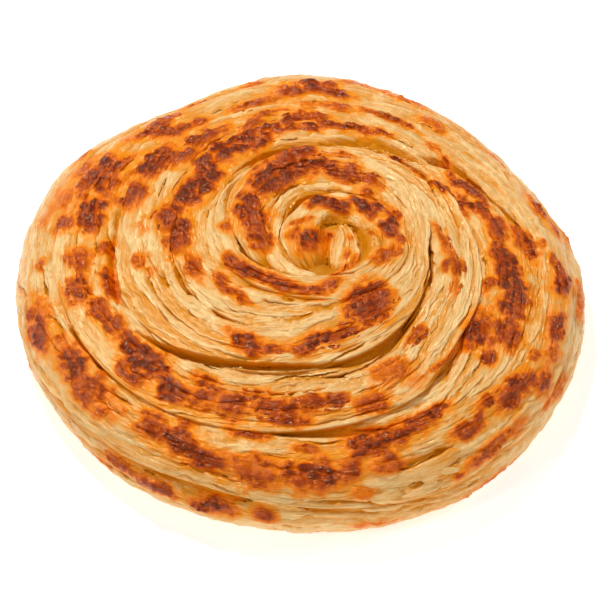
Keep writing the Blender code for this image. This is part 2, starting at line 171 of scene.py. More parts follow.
# Browned blisters: (angle, distance, length along the strand, width across it, strength)
BLISTERS = [
    (172, 17.2, 7, 5, 0.75), (163, 19.4, 7, 6, 0.8), (154, 22, 8, 6.4, 0.85), (145, 25.4, 8, 6.4, 0.9), (137, 28, 8, 7, 0.9),
    (127, 30.5, 8, 8, 0.9),
    (100, 16.4, 5, 4, 0.75), (91, 17.6, 6, 5, 0.85),
    (79, 16.6, 7, 5, 0.9), (67, 17.4, 6, 5, 0.85), (56, 20.4, 8, 6, 1.0), (46, 21.6, 8, 7.4, 1.0), (40, 18.8, 5, 4, 0.9),
    (33, 24, 7, 5, 0.85), (21, 21.2, 7, 6.6, 1.0), (13, 20.6, 5, 5, 0.85), (19, 15.4, 4, 3, 0.5), (7, 23, 6, 4, 0.7),
    (356, 21.6, 5, 4, 0.6), (347, 17.4, 7, 6.6, 0.85), (150, 4.8, 9, 8, 0.95), (80, 7.2, 4, 4, 0.75), (124, 11.2, 10, 2.4, 0.6),
    (155, 9.4, 6, 3, 0.45), (30, 9.8, 4, 3, 0.55), (348, 7.6, 6, 3, 0.6), (328, 10.4, 10, 2.6, 0.55), (300, 10.0, 7, 2.4, 0.65),
    (315, 22.5, 8, 6, 0.8), (303, 25.5, 14, 12, 1.0), (292, 28, 7, 7, 0.8),
    (262, 17, 10, 5, 0.75), (281, 14.5, 8, 4, 0.65), (240, 17.5, 9, 3.6, 0.75),
    (225, 19.5, 9, 3.8, 0.85), (212, 21.5, 8, 4, 0.85), (202, 24, 8, 4.4, 0.9), (192, 28, 7, 4.4, 0.85), (164, 29.4, 5, 5, 0.8),
    (219, 29.6, 10, 3.4, 0.7), (206, 31.6, 10, 3.6, 0.75), (193, 38, 9, 4.6, 0.75), (240, 41, 13, 6.4, 0.85), (250, 40, 8, 4, 0.7),
    (260, 38, 8, 5, 0.7), (271, 35.2, 12, 6.4, 0.95), (282, 32.2, 9, 6, 0.9), (309, 42, 9, 4.4, 0.9),
    (173, 42.5, 13, 7.6, 0.95),
    (177, 63.6, 7, 5.4, 0.7), (181, 72, 8, 6, 0.75),
    (190, 62.6, 10, 4.4, 1.0), (191, 72, 12, 7.4, 0.85), (199, 67.6, 9, 4.4, 0.75), (184, 52.5, 6, 3.4, 0.6),
    (170, 54, 6, 3.6, 0.4), (189, 50, 4, 2.6, 0.4), (196, 86.5, 20, 9.4, 0.9), (180, 84.5, 5, 3.4, 0.7), (207, 81.4, 12, 9, 1.0),
    (216, 82.5, 22, 10, 0.75), (215, 77.4, 5, 3.4, 0.6), (201, 81.4, 5, 3.6, 0.6),
    (166, 87, 9, 5, 0.4),
    (343, 58.6, 15, 9.4, 1.0),
    (339, 73, 14, 7, 0.8), (333, 74.6, 9, 6, 0.6), (340, 41, 9, 2.6, 0.5),
    (204, 66, 9, 5.4, 0.85), (212, 64.4, 10, 6, 0.95), (220, 63.4, 12, 8, 1.0), (219, 69.4, 12, 6, 0.85), (231, 66.4, 11, 7, 1.0),
    (238, 64, 10, 7, 1.0), (237, 58.8, 9, 4, 0.85), (246, 62.2, 13, 7.4, 0.9), (255, 59.6, 13, 8, 0.9), (263, 62, 10, 5, 0.75),
    (250, 57, 8, 4, 0.8), (238, 72.6, 7, 4, 0.75), (252, 69.6, 12, 4, 0.9), (233, 79, 11, 7, 0.9), (240, 79.4, 13, 8, 1.0),
    (246, 80.4, 9, 6, 0.85), (256, 80, 20, 9.4, 0.7), (269, 78.8, 17, 9.4, 0.95), (276, 77, 9, 7, 0.85), (266, 71.6, 11, 3.2, 0.75),
    (281, 71, 20, 9.6, 1.0), (292, 68.2, 19, 6.6, 1.0), (299, 66.2, 9, 4, 0.8), (283, 78, 14, 4.4, 0.75), (278, 83, 8, 3.6, 0.5),
    (303, 75, 14, 4.6, 0.85), (310, 71.6, 8, 4.6, 0.85), (315, 74.2, 11, 7.4, 0.95), (321, 73, 10, 7, 0.85), (326, 77, 10, 7, 0.85),
    (329, 71, 5, 4, 0.6), (267, 56, 10, 5, 0.85), (273, 55.6, 9, 5, 0.9),
    (284, 57.4, 10, 6, 0.75), (293, 49.4, 13, 6.4, 0.65), (300, 54, 9, 5, 0.35), (312, 52.6, 14, 1.8, 0.7), (327, 53.4, 14, 9, 1.0),
    (331, 61.4, 12, 11, 0.85), (321, 61.6, 7, 5.4, 0.85), (324, 81, 9, 4, 0.5), (314, 80.6, 9, 4, 0.45),
    # the far side, from the inner turn out to the rim
    (97.5, 71.5, 9, 6, 0.9), (91.5, 75, 12, 4.6, 0.95), (89, 71, 18, 4.6, 0.95), (106, 81, 7, 5, 0.6), (107.5, 68.5, 14, 4.6, 0.8),
    (106, 61.5, 12, 2.4, 0.8), (111, 58.5, 10, 3, 0.8), (101.5, 56.3, 10, 4, 0.9), (107, 55.2, 10, 6, 0.95), (93.5, 58, 14, 3.4, 0.75),
    (97.5, 52.5, 12, 3.4, 0.85), (92.5, 51.8, 8, 3, 0.7), (86, 53, 12, 3.6, 0.85), (79, 53.2, 14, 4.2, 0.95), (69.5, 54.5, 9, 4.4, 0.9),
    (85, 63.3, 12, 4, 0.75), (94, 63.8, 7, 2.4, 0.5), (74, 62.8, 12, 2.2, 0.8), (65.5, 61.8, 12, 2.2, 0.75), (58, 66, 10, 4, 0.65),
    (81, 79, 12, 6, 0.55), (75, 77, 12, 6, 0.55), (68, 77, 14, 8, 0.6), (53, 57.5, 7, 3, 0.65), (120, 50.5, 12, 8, 1.0),
    (112.5, 48.8, 9, 5, 0.9), (127, 49, 9, 8, 0.9), (115, 53, 10, 6, 1.0), (101, 39.5, 14, 5, 0.95), (95.5, 33.5, 16, 8, 1.0),
    (113, 32.5, 14, 10, 1.0), (105.5, 34.5, 12, 9, 1.0), (120, 31.5, 10, 9, 0.95), (86, 38.4, 9, 2, 0.5), (77.5, 38, 9, 3, 0.7),
    (74.5, 31, 10, 8.4, 0.95), (60.5, 31.3, 8, 4.6, 0.8), (60, 26.5, 6, 5, 0.85),
    (56, 43.8, 12, 1.8, 1.0), (46, 43.2, 12, 1.8, 1.0), (37, 43.6, 10, 2.4, 1.0),
    # the far left
    (133, 50.3, 8, 5, 0.95), (135.5, 47.3, 8, 5, 0.9), (136.5, 44.5, 7, 5, 0.9), (125, 52, 10, 7, 1.0), (140, 45.6, 10, 7, 1.0),
    (147, 45.8, 10, 8, 1.0), (153, 45, 9, 8, 1.0), (160, 46.5, 8, 8, 0.95), (166, 46, 10, 9, 1.0), (143.5, 63, 16, 7.4, 1.0),
    (139, 64.5, 8, 5, 0.9), (141.5, 60, 8, 4.4, 0.7), (134.5, 57.8, 12, 4.4, 0.85), (127, 61, 16, 4.4, 0.85), (123.5, 67.5, 9, 4.6, 0.7),
    (130.5, 69, 9, 5.4, 0.8), (134, 74, 10, 6, 0.85), (130, 76.5, 11, 5, 0.85), (120, 79, 9, 4, 0.7), (138, 76, 10, 4, 0.5),
    (147, 71.5, 8, 3.4, 0.7), (150.5, 76, 12, 7, 1.0), (156, 76.5, 12, 8, 0.95), (155, 71, 8, 5, 0.75), (152, 83.5, 10, 6, 0.6),
    (147, 88, 10, 4, 0.65), (159, 70, 5, 5, 0.6), (160, 66, 5, 4, 0.6), (157.5, 61, 12, 5.2, 0.9), (165.5, 72, 14, 8.4, 1.0),
    (169, 69.5, 8, 5, 0.8), (169, 80, 8, 6, 0.85), (160, 83.5, 10, 8, 0.5),
]

# Browned blisters on the right, by arc instead of distance
RIGHT_BLISTERS = [
    (36, 57.6, 9, 4.6, 0.9), (31, 59.6, 10, 5.4, 1.0), (27.5, 60.8, 7, 4, 0.85), (33, 52, 16, 2.4, 0.9), (28, 54.6, 8, 3.8, 0.9),
    (21.5, 57.7, 9, 5.4, 0.9), (23.5, 60, 6, 3, 0.6), (20.5, 51.5, 6, 3, 0.7), (11.5, 59.7, 10, 6, 0.95), (7, 57, 8, 4, 0.8),
    (359, 57.5, 10, 6, 1.0), (358, 61.5, 5, 4, 1.0), (354, 60, 10, 8, 1.0), (350, 60.5, 8, 7, 1.0), (10.5, 65.5, 6, 4, 0.7),
    (6.5, 67.5, 8, 4.6, 0.85), (2, 67.5, 9, 6, 0.95), (5, 64.5, 7, 3.6, 0.8), (5.5, 72.5, 4, 2, 0.6), (0.5, 75, 6, 3, 0.85),
    (357, 77, 6, 4, 0.85), (352, 78, 10, 8, 1.0), (346, 54, 8, 4, 0.8), (38, 81, 12, 4, 0.45), (44, 78, 8, 3, 0.4),
    (20, 78, 12, 4.6, 0.75), (13, 82, 10, 5, 0.7), (357, 87, 8, 4, 0.45), (46, 61.3, 6, 2.6, 0.85), (12, 39.4, 9, 2.2, 0.75),
    (4, 40, 8, 2.4, 0.7), (356, 41.5, 7, 2.6, 0.75), (350, 43.5, 7, 2.8, 0.8), (350.5, 40, 5, 2.6, 0.8),
]

# Broad warm stretches, by the same five numbers
WARM_STRETCHES = [
    (140, 76, 70, 26, 0.55), (95, 76, 60, 26, 0.6), (65, 74, 40, 22, 0.5), (165, 80, 40, 26, 0.45),
    (345, 72, 40, 18, 0.45), (20, 68, 30, 18, 0.35), (5, 54, 40, 18, 0.4),
    (240, 64, 50, 18, 0.35), (120, 56, 50, 16, 0.45), (150, 46, 30, 12, 0.4), (88, 56, 40, 14, 0.4),
    (60, 22, 26, 14, 0.4), (135, 26, 24, 12, 0.4), (180, 6, 14, 12, 0.5),
]

# Browned places on the side and under it: (angle, arc, length, width, strength)
SIDE_BLISTERS = [
    (230, 92.0, 12, 4.4, 0.85), (238, 92, 14, 5, 0.95), (250, 91.8, 16, 6.4, 1.0), (259, 91.2, 8, 4.4, 0.85),
    (304, 98, 20, 5, 0.6), (312, 99, 14, 4, 0.5), (225, 97, 10, 3, 0.4), (268, 99, 14, 3, 0.35), (302, 86, 9, 3.4, 0.7),
    (307, 85, 12, 4, 0.75), (297, 87.6, 5, 3, 0.8),
    (329, 90, 12, 6, 0.55), (352, 88, 12, 6, 0.6), (12, 90, 14, 6, 0.6), (40, 92, 16, 6, 0.6), (75, 90, 20, 8, 0.6),
    (100, 94, 16, 6, 0.6), (125, 92, 20, 7, 0.65), (150, 95, 16, 6, 0.6), (172, 97, 16, 6, 0.6), (197, 96, 12, 5, 0.5),
    (280, 96, 16, 4, 0.45), (20, 99, 20, 5, 0.6), (60, 100, 24, 5, 0.6), (110, 100, 24, 5, 0.6), (140, 101, 20, 5, 0.55),
]


# ---------------------------------------------------------------- numbers


def smooth_step(x):
    """0 below 0, 1 above 1, and x x (3 - 2 x) between."""
    x = np.clip(x, 0.0, 1.0)
    return x * x * (3.0 - 2.0 * x)


def smooth_curve(values, place):
    """Catmull-Rom curve through the values at 0, 1, 2 ..., read at each place along it."""
    knots = np.asarray(values, float)
    knots = np.concatenate([[2 * knots[0] - knots[1]], knots, [2 * knots[-1] - knots[-2]]])
    step = np.clip(np.floor(place).astype(int), 0, len(values) - 2)
    t = place - step
    a, b, c, d = (knots[step + k] for k in range(4))
    return b + 0.5 * t * (c - a + t * (2 * a - 5 * b + 4 * c - d + t * (3 * (b - c) + d - a)))


LATTICE = np.random.default_rng(5).uniform(-1.0, 1.0, (256, 256))
SCATTER = np.random.default_rng(6).uniform(0.0, 1.0, (3, 256, 256))


def grain(x, y, seed):
    """Value noise from -1 to 1: the lattice's four corner values blended with a smooth step."""
    xi, yi = np.floor(x).astype(int), np.floor(y).astype(int)
    fx, fy = smooth_step(x - xi), smooth_step(y - yi)
    left, right = (xi + 31 * seed) & 255, (xi + 31 * seed + 1) & 255
    low, high = (yi + 57 * seed) & 255, (yi + 57 * seed + 1) & 255
    near = LATTICE[left, low] * (1 - fx) + LATTICE[right, low] * fx
    far = LATTICE[left, high] * (1 - fx) + LATTICE[right, high] * fx
    return near * (1 - fy) + far * fy


def layered_grain(x, y, seed, octaves=3):
    """Sum of grains, each twice as fine and half as strong as the one before."""
    total = 0.0
    for k in range(octaves):
        total = total + grain(x * 2 ** k, y * 2 ** k, seed + 7 * k) / 2 ** k
    return total


def lumps(x, y, seed):
    """Distance to the nearest of one scattered point in each unit cell, and that cell's number."""
    xi, yi = np.floor(x).astype(int), np.floor(y).astype(int)
    nearest = np.full(x.shape, 9.0)
    mark = np.zeros(x.shape)
    for dx in (-1, 0, 1):
        for dy in (-1, 0, 1):
            cx, cy = (xi + dx + 13 * seed) & 255, (yi + dy + 29 * seed) & 255
            away = np.hypot(xi + dx + SCATTER[0, cx, cy] - x, yi + dy + SCATTER[1, cx, cy] - y)
            closer = away < nearest
            nearest = np.where(closer, away, nearest)
            mark = np.where(closer, SCATTER[2, cx, cy], mark)
    return nearest, mark


# ---------------------------------------------------------------- the bread's skin


def edge_table():
    """Distance from the eye to the outline, for rising angles about the eye: a smooth closed
    curve through the outline's reaches."""
    turn = np.radians(np.arange(0.0, 360.0, 0.5))
    round_again = OUTLINE_REACH[-2:] + OUTLINE_REACH + OUTLINE_REACH[:2]
    radius = smooth_curve(round_again, np.arange(0.0, 360.0, 0.5) / 360.0 * len(OUTLINE_REACH) + 2.0)
    away = np.stack([radius * np.cos(turn), radius * np.sin(turn)], axis=1) - EYE
    angle = np.mod(np.degrees(np.arctan2(away[:, 1], away[:, 0])), 360.0)
    order = np.argsort(angle)
    return angle[order], np.hypot(away[:, 0], away[:, 1])[order]


def section_table():
    """The section's share of the way out, inset and height against its arc: a parabola for the
    dome, a quarter ellipse for the rim, another for the belly, then flat to the middle."""
    quarter = np.linspace(0.0, 0.5 * math.pi, 60)
    share = np.concatenate([np.linspace(0.0, RIM_START, 200)[:-1], RIM_START + (1 - RIM_START) * np.sin(quarter)])
    turned = np.concatenate([np.zeros(199), quarter])
    height = BELLY_HEIGHT + (CROWN_HEIGHT - DOME_DROP * share ** 2 - BELLY_HEIGHT) * np.cos(turned)
    inwards = np.linspace(1.0, 0.0, 100)[1:]
    shares = np.concatenate([share, np.ones(59), inwards])
    insets = np.concatenate([0 * share, BASE_INSET * (1 - np.cos(quarter[1:])), BASE_INSET * inwards])
    heights = np.concatenate([height, BELLY_HEIGHT * (1 - np.sin(quarter[1:])), 0 * inwards])
    reach = shares * MEAN_RADIUS - insets
    arc = np.concatenate([[0.0], np.cumsum(np.hypot(np.diff(reach), np.diff(heights)))])
    return arc, shares, insets, heights, np.gradient(reach, arc), np.gradient(heights, arc)


EDGE_ANGLE, EDGE_REACH = edge_table()
ARC, SHARE, INSET, HEIGHT, RUN, CLIMB = section_table()
ARC_BELLY = ARC[np.argmax(SHARE >= 1.0)]
ARC_FOOT = ARC[np.argmax(HEIGHT <= 0.0)]
ARC_END = ARC[-1]


def edge(angle):
    """Distance from the eye to the outline at an angle in degrees."""
    return np.interp(angle, EDGE_ANGLE, EDGE_REACH, period=360.0)


def arc_at(angle, distance):
    """The arc of a place given by its plan distance from the eye."""
    top = ARC <= ARC_BELLY
    return np.interp(distance / edge(angle), SHARE[top], ARC[top])


def skin(angle, arc, lift, lean=0.0):
    """Places at a height above the plain bread, moved outwards along it by lean."""
    share, inset, height = (np.interp(arc, ARC, column) for column in (SHARE, INSET, HEIGHT))
    run, climb = np.interp(arc, ARC, RUN), np.interp(arc, ARC, CLIMB)
    length = np.hypot(run, climb)
    run, climb = run / length, climb / length
    reach = share * edge(angle) - inset - climb * lift + run * lean
    turn = np.radians(angle)
    return np.stack([EYE[0] + reach * np.cos(turn), EYE[1] + reach * np.sin(turn),
                     np.maximum(height + run * lift + climb * lean, 0.0)], axis=-1)


def flat(angle, arc):
    """The skin unrolled to a flat disc: arc is its radius."""
    turn = np.radians(angle)
    return arc * np.cos(turn), arc * np.sin(turn)


# ---------------------------------------------------------------- maps over the unrolled skin


FIELD_AXIS = np.arange(-FIELD_HALF, FIELD_HALF + FIELD_STEP, FIELD_STEP)
FIELD_X, FIELD_Y = np.meshgrid(FIELD_AXIS, FIELD_AXIS, indexing="ij")


def read_field(field, x, y):
    """Value of a map at places between its points, from the four nearest."""
    px = np.clip((x + FIELD_HALF) / FIELD_STEP, 0, len(FIELD_AXIS) - 1.001)
    py = np.clip((y + FIELD_HALF) / FIELD_STEP, 0, len(FIELD_AXIS) - 1.001)
    ix, iy = px.astype(int), py.astype(int)
    fx, fy = px - ix, py - iy
    low = field[ix, iy] * (1 - fx) + field[ix + 1, iy] * fx
    high = field[ix, iy + 1] * (1 - fx) + field[ix + 1, iy + 1] * fx
    return low * (1 - fy) + high * fy


def spot_map(spots, ragged, inner, outer, by_arc=False):
    """One minus the product of what each spot leaves bare.  A spot is its strength inside the
    ellipse share inner, nothing past outer, on an ellipse whose edge is made ragged by grain."""
    rough = ragged * (layered_grain(FIELD_X / 3.2, FIELD_Y / 3.2, 3, 3))
    bare = np.ones_like(FIELD_X)
    for angle, distance, length, width, strength in spots:
        arc = distance if by_arc else float(arc_at(angle, distance))
        turn = math.radians(angle)
        x, y = arc * math.cos(turn), arc * math.sin(turn)
        room = 0.5 * max(length, width) * (outer + ragged)
        cells = [slice(*np.searchsorted(FIELD_AXIS, (c - room, c + room))) for c in (x, y)]
        cells = tuple(cells)
        dx, dy = FIELD_X[cells] - x, FIELD_Y[cells] - y
        out = np.hypot(FIELD_X[cells], FIELD_Y[cells]) - arc if arc > 8 else dx * math.cos(turn) + dy * math.sin(turn)
        along = -dx * math.sin(turn) + dy * math.cos(turn)
        away = np.hypot(along / (0.5 * length), out / (0.5 * width)) + rough[cells]
        bare[cells] *= 1.0 - strength * smooth_step((outer - away) / (outer - inner))
    return 1.0 - bare


def slit_map(slits, by_arc=False):
    """Depth of the crevices: each is a path with a rounded V across it, fading out at its ends."""
    depth = np.zeros_like(FIELD_X)
    for points, width, deep in slits:
        angle, distance = np.array(points, float).T
        angle = np.unwrap(angle, period=360.0)
        place = np.linspace(0, len(points) - 1, 40 * len(points))
        angle, distance = smooth_curve(angle, place), smooth_curve(distance, place)
        arc = distance if by_arc else arc_at(angle, distance)
        fade = smooth_step(np.minimum(place, place[-1] - place) / (0.28 * place[-1]))
        x, y = flat(angle, arc)
        for px, py, f in zip(x, y, fade):
            cells = tuple(slice(*np.searchsorted(FIELD_AXIS, (c - 1.5 * width, c + 1.5 * width))) for c in (px, py))
            away = np.hypot(FIELD_X[cells] - px, FIELD_Y[cells] - py) / (0.5 * width * (0.25 + 0.75 * f))
            pull = 0.75 * deep * (0.3 + 0.7 * f) * smooth_step((1.35 - away) / 0.9)
            depth[cells] = np.maximum(depth[cells], pull)
    return depth


TOAST = spot_map(BLISTERS, 0.34, 0.45, 1.45)
SIDE_TOAST = spot_map(SIDE_BLISTERS, 0.36, 0.30, 1.50, by_arc=True)
RIGHT_TOAST = spot_map(RIGHT_BLISTERS, 0.34, 0.45, 1.45, by_arc=True)
TOAST = 1.0 - (1.0 - TOAST) * (1.0 - SIDE_TOAST) * (1.0 - RIGHT_TOAST)
GLOW = spot_map(BLISTERS, 0.25, 0.9, 1.9)
GLOW = 1.0 - (1.0 - GLOW) * (1.0 - spot_map(RIGHT_BLISTERS, 0.25, 0.9, 2.1, by_arc=True))
GLOW = 1.0 - (1.0 - GLOW) * (1.0 - spot_map(SIDE_BLISTERS, 0.25, 0.8, 1.9, by_arc=True))
WARM = spot_map(WARM_STRETCHES, 0.35, 0.3, 1.6)
SLIT = np.maximum(slit_map(SLITS), slit_map(ARC_SLITS, by_arc=True))


# ---------------------------------------------------------------- relief


def pleat_relief(u, along, pleats, seed):
    """Leaves of dough lapped across a strand.  Each rises from its root to a lip and drops to the
    next; here and there the root opens into a spindle-shaped hollow.  Finer folds and crumples lie
    on each leaf.  Returns the relief, how near each place is to a lip, each leaf's tone (paler on
    the raised crumples: a painted highlight), and the painted shade in the fold under each lip."""
    wander = 0.80 * grain(along / 34, 1.1 * u, seed) + 0.40 * grain(along / 11, 2.3 * u, seed + 3)
    ragged = 0.12 * grain(along / 3.2, 2.0 * u, seed + 4) + 0.07 * grain(along / 1.3, 4.0 * u, seed + 2)
    leaf = pleats * (0.5 * u + 0.5) + wander + ragged
    number = np.floor(leaf)
    part = leaf - number
    open_up = smooth_step((grain(along / 13, 7.3 * number + 0.5, seed + 5) - 0.20) / 0.45)
    rise = 0.30 + 0.36 * grain(along / 12, 4.7 * number + 0.5, seed + 6) + 0.50 * open_up
    rise = np.maximum(rise, 0.05)
    lip = np.where(part < 0.82, (part / 0.82) ** 0.7, 1 - smooth_step((part - 0.82) / 0.18))
    pillow = 1 - np.abs(2 * part ** 0.8 - 1) ** 2.4
    root = open_up * np.exp(-(np.minimum(part, 1.0 - part + 0.05) / 0.19) ** 2)
    fine = 2.7 * leaf + 0.7 * grain(along / 9, 5 * u, seed + 9) + 0.4 * grain(along / 3.0, 9 * u, seed + 10)
    fine_part = fine - np.floor(fine)
    fine_rise = smooth_step(grain(along / 7, 5.7 * np.floor(fine) + 0.5, seed + 11) + 0.45)
    fold = fine_rise * (np.where(fine_part < 0.8, fine_part / 0.8, (1 - fine_part) / 0.2) - 0.5)
    crumple = 1 - np.abs(grain(along / 9.0 + 0.9 * leaf, 2.3 * leaf, seed + 12)) * 2.4
    crumple += 0.6 * (1 - np.abs(grain(along / 4.5 - 0.8 * leaf, 4.2 * leaf, seed + 13)) * 2.4)
    tone = 0.8 * grain(along / 24, 9.1 * number + 0.5, seed + 15)
    # Painted highlight: the tone is raised on the crumples' ridges
    tone += 0.6 * grain(along / 12, 6.3 * np.floor(fine) + 0.5, seed + 17) + 0.20 * crumple
    # Painted shade: darkest just under each lip and each fine fold, fading away from it
    shade = smooth_step(1.5 * rise - 0.1) * np.exp(-part / 0.22) + 0.35 * fine_rise * np.exp(-fine_part / 0.25)
    relief = rise * (0.38 * lip + 0.72 * pillow - 0.57) - 1.15 * root + 0.17 * fold + 0.22 * (crumple - 0.7)
    return relief, lip, tone, 0.75 * shade


def blister_relief(x, y, toast):
    """Bubbled dough where it is browned: crumpled domes of two sizes with creases between them."""
    bent_x = x + 0.7 * grain(x / 1.5, y / 1.5, 61)
    bent_y = y + 0.7 * grain(x / 1.5, y / 1.5, 62)
    big, mark = lumps(bent_x / 3.3, bent_y / 3.3, 3)
    small, _ = lumps(bent_x / 1.5, bent_y / 1.5, 8)
    crumple = 1 - 2.2 * np.abs(grain(bent_x / 1.1, bent_y / 1.1, 63))
    dome = (0.4 + 1.0 * mark) * (0.55 - big) + 0.50 * (0.5 - small) + 0.20 * crumple
    return smooth_step(1.3 * toast - 0.15) * (0.15 + 1.0 * dome)


def strand_path(points, by_arc):
    """A strand's centre line on the unrolled skin at even steps: its x and y, the way outwards
    across it (a quarter turn left of the way it runs), half width, lift and the length so far."""
    columns = np.array(points, float).T
    place = np.linspace(0, len(points) - 1, 60 * len(points))
    angle, reach, half, lift = (smooth_curve(column, place) for column in columns)
    arc = reach if by_arc else arc_at(angle, reach)
    line = skin(angle, arc, 0 * arc)
    length = np.concatenate([[0.0], np.cumsum(np.linalg.norm(np.diff(line, axis=0), axis=1))])
    even = np.linspace(0.0, length[-1], int(length[-1] / STEP_ALONG) + 1)
    x, y, half, lift = (np.interp(even, length, column) for column in (*flat(angle, arc), half, lift))
    ahead_x, ahead_y = np.gradient(x), np.gradient(y)
    size = np.hypot(ahead_x, ahead_y)
    return [x, y, -ahead_y / size, ahead_x / size, half, lift - SINK, even]


def beside(x, y, out_x, out_y, away):
    """Places at a distance outwards from a centre line: their x, y, angle and arc."""
    x, y = x + out_x * away, y + out_y * away
    return x, y, np.degrees(np.arctan2(y, x)), np.hypot(x, y)


def strand_sheet(points, pleats, foot, lean, seed, tuck=2.6, shelf=0.20, by_arc=False):
    """A strand as a tube of places: its upper side climbs slowly from its tucked inner edge to a
    lip at its outer one, with leaves, crevices and blisters on it; its under side lies flat."""
    *line, half, lift, along = strand_path(points, by_arc)
    count = int(2.3 * half.max() / STEP_ACROSS)
    even = np.linspace(-1.0, 1.0, count)
    across = 0.7 * even + 0.3 * np.sin(0.5 * math.pi * even)
    under = np.linspace(1.0, -1.0, 7)[1:-1]
    u = np.concatenate([across, under])
    top = np.arange(len(u)) < count
    u, s = np.meshgrid(u, along)
    *line, half, lift = (column[:, None] for column in (*line, half, lift))
    taper = np.sqrt(np.clip(1 - (1 - np.minimum(along, along[-1] - along) / 7.0).clip(0) ** 2, 0.0, 1.0))[:, None]
    half = half + 1.2
    fx, fy, angle, arc = beside(*line, u * half * taper - 0.9)
    toast = read_field(TOAST, fx, fy)
    inner, outer = (1 + u) * half, (1 - u) * half
    arch = smooth_step(inner / 0.6) * (1 - shelf + shelf * smooth_step(inner / tuck)) * smooth_step(outer / 1.0) ** 0.7
    crown = 0.55 * u - 0.40 * u * u
    relief, lip, tone, shade = pleat_relief(u, s, pleats, seed)
    relief *= smooth_step(4.0 * (1 - np.abs(u))) * (1 - 0.45 * smooth_step(1.4 * toast))
    rumple = 0.22 * layered_grain(fx / 6, fy / 6, seed + 19, 3)
    domes = blister_relief(fx, fy, toast) * arch
    height = (foot + lift) * arch - foot + (relief + rumple + crown) * arch + domes
    height -= read_field(SLIT, fx, fy) * smooth_step(2.5 * arch)
    height = np.maximum(height, -foot - 1.0)
    height = np.where(top[None, :], height, -foot - 1.6)
    height = -foot + (height + foot) * np.where(height > -foot, taper, 1.0)
    places = skin(angle, arc, height, lean * (height + foot) + 0.45 * relief * arch)
    toast = toast + smooth_step(2.0 * toast) * (0.18 * (lip - 0.55) + 0.34 * domes)
    # Painted highlight: the tone is raised towards each leaf's lip, so the lips are painted paler
    tone = tone + 0.9 * (smooth_step((lip - 0.65) / 0.35) - 0.35)
    # The shade in the fold under each lip goes out as painted shade, amber on the surface
    return dict(places=places, x=fx, y=fy, height=height, toast=toast, tone=tone, across=u * half, along=s,
                shade_amber=shade * arch)


def leaf_sheet(path, begin, length, start, drift, width, rise, seed, level):
    """A thin leaf lying along a strand: it climbs from a root sunk in the surface to a curled lip
    on its outer side, narrows to a point at both ends, and has a crumpled, ragged edge."""
    count = max(int(length / 0.5), 12)
    t = np.linspace(0.0, 1.0, count)[:, None]
    along = begin + length * t
    *line, half = (np.interp(along[:, 0], path[-1], column)[:, None] for column in path[:5])
    across = np.concatenate([np.linspace(0.0, 1.0, 9), [1.10, 0.62, 0.30]])[None, :]
    under = np.concatenate([np.zeros(9), np.ones(3)])[None, :]
    ragged = 1 + 0.22 * grain(along / 2.4, 0.3 + 0 * along, seed) + 0.12 * grain(along / 0.9, 0.7 + 0 * along, seed + 1)
    wide = width * np.sin(math.pi * t) ** 0.55 * ragged
    wander = 0.5 * grain(along / 9, 0.4 + 0 * along, seed + 2)
    away = (start + drift * (t - 0.5)) * half + wander + (across - 0.6) * wide
    fx, fy, angle, arc = beside(*line, away)
    curl = rise * (0.65 + 0.5 * grain(along / 5.5, 0.2 + 0 * along, seed + 3)) * np.sin(math.pi * t) ** 0.4
    crumple = 0.30 - 0.75 * np.abs(grain(along / 8.0 + 0.8 * across, across * width / 1.7, seed + 4))
    crumple += 0.12 - 0.35 * np.abs(grain(along / 4.0 - 0.9 * across, across * width / 0.9, seed + 5))
    lip = across ** 1.5 * curl - 0.30 * (1 - across) ** 2
    toast = read_field(TOAST, fx, fy)
    height = read_field(level, fx, fy) + lip + crumple * np.sin(math.pi * across) - 0.05
    height += 0.60 * blister_relief(fx, fy, toast)
    height = np.where(under > 0, read_field(level, fx, fy) - 0.6, height)
    height -= 1.2 * (1 - np.sin(math.pi * t) ** 0.25) + 0 * across
    # Painted highlight and shade: the tone is paler towards the lip and on the raised crumples, darker towards the root
    tone = 0.9 * grain(0 * along + seed * 0.37, 0.5 + 0 * along, 71) + 1.0 * (across - 0.45) + 0.8 * crumple
    places = skin(angle, arc, height, 0.15 * lip + 0 * away)
    # Painted shade: the leaf's under side and step face are painted amber
    return dict(places=places, x=fx, y=fy, height=height, toast=toast * (0.85 + 0.3 * across), tone=tone,
                across=away, along=along + 0 * away, shade_amber=0.8 * under + 0 * away)


def strand_leaves(facts, level, by_arc):
    """Leaves scattered over a strand, one to about 150 square mm of it."""
    path = strand_path(facts["points"], by_arc)
    dice = np.random.default_rng(100 + facts["seed"])
    total = path[-1][-1]
    room = 2.0 * float(path[4].mean()) * total
    sheets = []
    for k in range(int(room / 150.0)):
        length = dice.uniform(12.0, 46.0)
        width = dice.uniform(2.2, 6.0)
        begin = dice.uniform(2.0, max(total - length - 2.0, 3.0))
        start = dice.uniform(-0.80, 0.86)
        drift = dice.uniform(-0.22, 0.22)
        rise = dice.uniform(0.0, 0.30)
        if begin + length < total:
            sheets.append(leaf_sheet(path, begin, length, start, drift, width, rise, 200 * facts["seed"] + k, level))
    return sheets


